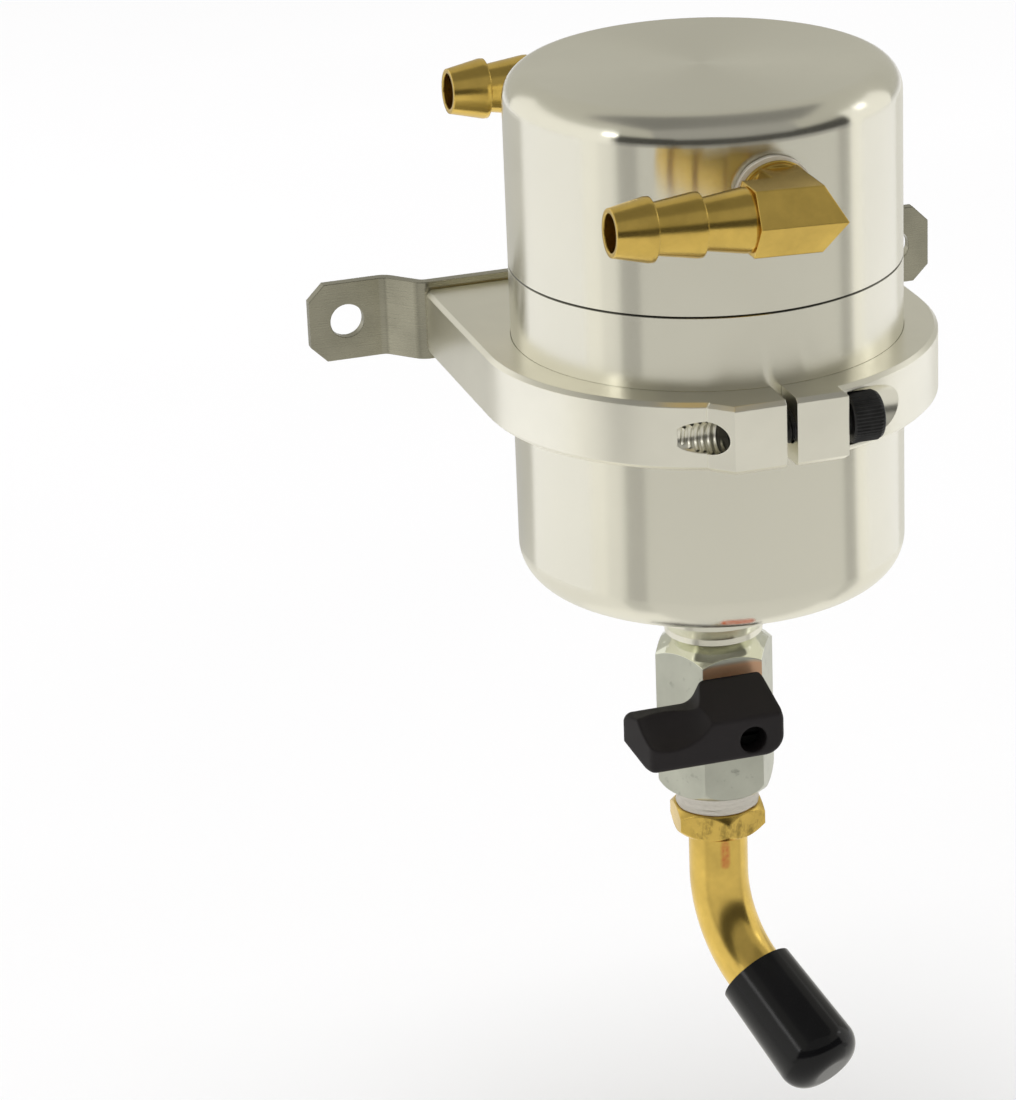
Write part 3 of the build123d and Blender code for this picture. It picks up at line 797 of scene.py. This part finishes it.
def add_card(name, corners, faces, shade, tint=(1.0, 0.985, 0.93)):
    """A plain card of the studio, seen only in reflections."""
    mesh = bpy.data.meshes.new(name)
    mesh.from_pydata(corners, [], faces)
    card = bpy.data.objects.new(name, mesh)
    bpy.context.collection.objects.link(card)
    card.visible_camera = False
    card.visible_shadow = False
    card.visible_diffuse = False
    made = Finish(name + "_paint", (shade, shade, shade), 0.0, 0.9)
    glow = made.node("ShaderNodeEmission")
    glow.inputs["Color"].default_value = (*[shade * c for c in tint], 1.0)
    made.link(glow.outputs["Emission"], made.nodes["Material Output"].inputs["Surface"])
    card.data.materials.append(made.material)


def add_curved_card(name, start, end, near, far, shade):
    """A card bent round the can between two bearings; its two edges are pairs of radius and height."""
    steps = 24
    corners = []
    for step in range(steps + 1):
        b = start + (end - start) * step / steps
        corners += [(CAN_AXIS.x + r * sin(b), CAN_AXIS.y - r * cos(b), z) for r, z in (near, far)]
    add_card(name, corners, [(i, i + 1, i + 3, i + 2) for i in range(0, 2 * steps, 2)], shade)


def add_lamp(name, centre, target, size, power):
    """A soft square lamp."""
    light = bpy.data.lights.new(name, "AREA")
    light.energy = power
    light.size = size
    lamp = bpy.data.objects.new(name, light)
    bpy.context.collection.objects.link(lamp)
    aim = Vector(target) - Vector(centre)
    lamp.matrix_world = Matrix.Translation(centre) @ aim.to_track_quat("-Z", "Y").to_matrix().to_4x4()
    return lamp


# The studio, with bearings in degrees from the camera's, lengths in metres and powers in watts.
LAMP_DISTANCE = 1.3
FAN_LIFT = 0.004
WALL_LIFT = 0.01
FRAME_HEIGHT_MM = 36.0
TOP_LAMP = ("top_softbox", (0.0, 0.5, 2.6), (0.0, 0.5, 0.0), 2.4, 57.0)
# Name, bearing, height, size, power.
SOFTBOXES = (
    ("left_softbox", -57, 0.47, 0.18, 0.3),
    ("right_softbox", 104, 0.6, 0.2, 0.2),
)
# Name, first and last bearing, radius, height of the top edge, shade.
WALL_CARDS = (
    ("front_wall", -53, 86, 1.75, 0.66, 0.06),
    ("left_wall", -142, -55, 1.6, 1.0, 0.95),
    ("right_wall", 87, 130, 1.6, 1.0, 0.95),
)
# Name, first and last bearing, inner and outer radius, shade.
FLOOR_FANS = (
    ("front_fan", -40, 79, 0.01, 1.6, 0.71),
    ("left_gap", -52, -40, 0.33, 1.6, 0.49),
    ("left_near_gap", -56, -40, 0.12, 0.33, 0.6),
    ("left_edge", -64, -52, 0.33, 1.6, 0.8),
    ("left_side", -75, -64, 0.33, 1.6, 0.95),
    ("left_near_side", -175, -56, 0.12, 0.33, 0.86),
    ("right_gap", 79, 88, 0.33, 1.6, 0.46),
    ("right_near_gap", 79, 92, 0.12, 0.33, 0.6),
    ("right_edge", 88, 98, 0.33, 1.6, 0.98),
    ("right_near_side", 92, 175, 0.12, 0.33, 0.92),
    ("left_back", -172, -128, 0.33, 1.2, 0.55),
    ("right_back", 140, 175, 0.33, 1.2, 0.75),
    ("back_fan", 79, 320, 0.01, 0.12, 0.97),
)
# Name, corners, shade.
SKY_CARDS = (
    ("front_sky", ((-1.5, -1.5, 0.57), (1.1, -1.5, 0.57), (1.1, -1.1, 2.0), (-1.5, -1.1, 2.0)), 0.37),
    ("ceiling", ((-1.5, -1.1, 2.0), (1.5, -1.1, 2.0), (1.5, 0.9, 2.2), (-1.5, 0.9, 2.2)), 0.22),
)


class CATCHCAN_OT_stage(bpy.types.Operator):
    """Set the floor, the studio light and the camera"""

    bl_idname = "catchcan.stage"
    bl_label = "Set Stage"

    def execute(self, context):
        settings = stage_settings()
        scene = context.scene
        scene.view_settings.view_transform = "Standard"
        floor_z = CAD_BOX[0][2] - settings.floor_gap
        self.add_floor(settings, floor_z)
        self.add_world(settings, scene)
        self.add_lights(settings, floor_z)
        self.add_camera(settings, scene)
        return {"FINISHED"}

    def add_floor(self, settings, z):
        mesh = bpy.data.meshes.new("floor")
        mesh.from_pydata([(-8, -8, z), (8, -8, z), (8, 8, z), (-8, 8, z)], [], [(0, 1, 2, 3)])
        floor = bpy.data.objects.new("floor", mesh)
        bpy.context.collection.objects.link(floor)
        made = Finish("pale_floor", settings.floor, 0.0, 0.9)
        made.tint(made.noise(made.place(), 3.0), 0.99, 1.01)
        made.shader.inputs["Specular IOR Level"].default_value = 0.0
        mesh.materials.append(made.material)

    def add_world(self, settings, scene):
        world = bpy.data.worlds.new("studio")
        scene.world = world
        world.use_nodes = True
        background = world.node_tree.nodes["Background"]
        background.inputs["Color"].default_value = (*settings.sky, 1.0)
        background.inputs["Strength"].default_value = 1.0

    def add_lights(self, settings, floor_z):
        middle = SEAM - Vector((0, 0, 0.03))
        for name, bearing, height, size, power in SOFTBOXES:
            turn = settings.azimuth + radians(bearing)
            place = middle + Vector((LAMP_DISTANCE * sin(turn), -LAMP_DISTANCE * cos(turn), height))
            add_lamp(name, place, middle, size, power * settings.light)
        name, place, target, size, power = TOP_LAMP
        top = add_lamp(name, place, target, size, power * settings.light)
        top.visible_glossy = False
        for name, first, last, inner, outer, shade in FLOOR_FANS:
            level = floor_z + FAN_LIFT
            self.add_bent(settings, name, first, last, (inner, level), (outer, level), shade)
        for name, first, last, radius, height, shade in WALL_CARDS:
            foot = floor_z + WALL_LIFT
            self.add_bent(settings, name, first, last, (radius, foot), (radius, height), shade)
        for name, corners, shade in SKY_CARDS:
            add_card(name, corners, [(0, 1, 2, 3)], shade)

    def add_bent(self, settings, name, first, last, near, far, shade):
        """A bent card whose bearings are counted from the camera's."""
        start, end = (settings.azimuth + radians(bearing) for bearing in (first, last))
        add_curved_card(name, start, end, near, far, shade)

    def add_camera(self, settings, scene):
        a, e = settings.azimuth, settings.elevation
        back = Vector((sin(a) * cos(e), -cos(a) * cos(e), sin(e)))
        right = Vector((cos(a), sin(a), 0.0))
        turn = Matrix.Rotation(settings.roll, 3, back)
        right = turn @ right
        up = back.cross(right)
        aim = SEAM - settings.aim_right * right - settings.aim_down * up
        place = Matrix((right, up, back)).transposed().to_4x4()
        place.translation = aim + settings.distance * back
        lens = bpy.data.cameras.new("photo_camera")
        lens.sensor_fit = "VERTICAL"
        lens.sensor_height = FRAME_HEIGHT_MM
        lens.lens = settings.lens
        lens.clip_start = 0.01
        camera = bpy.data.objects.new("photo_camera", lens)
        bpy.context.collection.objects.link(camera)
        camera.matrix_world = place
        scene.camera = camera


class CATCHCAN_PT_panel(bpy.types.Panel):
    """Sizes, colours and steps of the catch can"""

    bl_idname = "CATCHCAN_PT_panel"
    bl_label = "Catch Can"
    bl_space_type = "VIEW_3D"
    bl_region_type = "UI"
    bl_category = "Catch Can"

    def draw(self, context):
        for group_name, group in GROUPS.items():
            box = self.layout.box()
            for name in group.__annotations__:
                box.prop(getattr(context.scene, group_name), name)
        for operator in OPERATORS:
            self.layout.operator(operator.bl_idname)


GROUPS = {
    "catch_can_finishes": CatchCanFinishes,
    "catch_can_detail": CatchCanDetail,
    "catch_can_stage": CatchCanStage,
}
OPERATORS = (
    CATCHCAN_OT_finishes,
    CATCHCAN_OT_clamp_screw,
    CATCHCAN_OT_tapes,
    CATCHCAN_OT_lid_thread,
    CATCHCAN_OT_stage,
)


def register():
    for cls in (*GROUPS.values(), *OPERATORS, CATCHCAN_PT_panel):
        bpy.utils.register_class(cls)
    for name, group in GROUPS.items():
        setattr(bpy.types.Scene, name, PointerProperty(type=group))


def unregister():
    for name in GROUPS:
        delattr(bpy.types.Scene, name)
    for cls in reversed((*GROUPS.values(), *OPERATORS, CATCHCAN_PT_panel)):
        bpy.utils.unregister_class(cls)


def main():
    register()
    bpy.ops.catchcan.finishes()
    bpy.ops.catchcan.clamp_screw()
    bpy.ops.catchcan.tapes()
    bpy.ops.catchcan.lid_thread()
    bpy.ops.catchcan.stage()


if __name__ == "__main__":
    main()
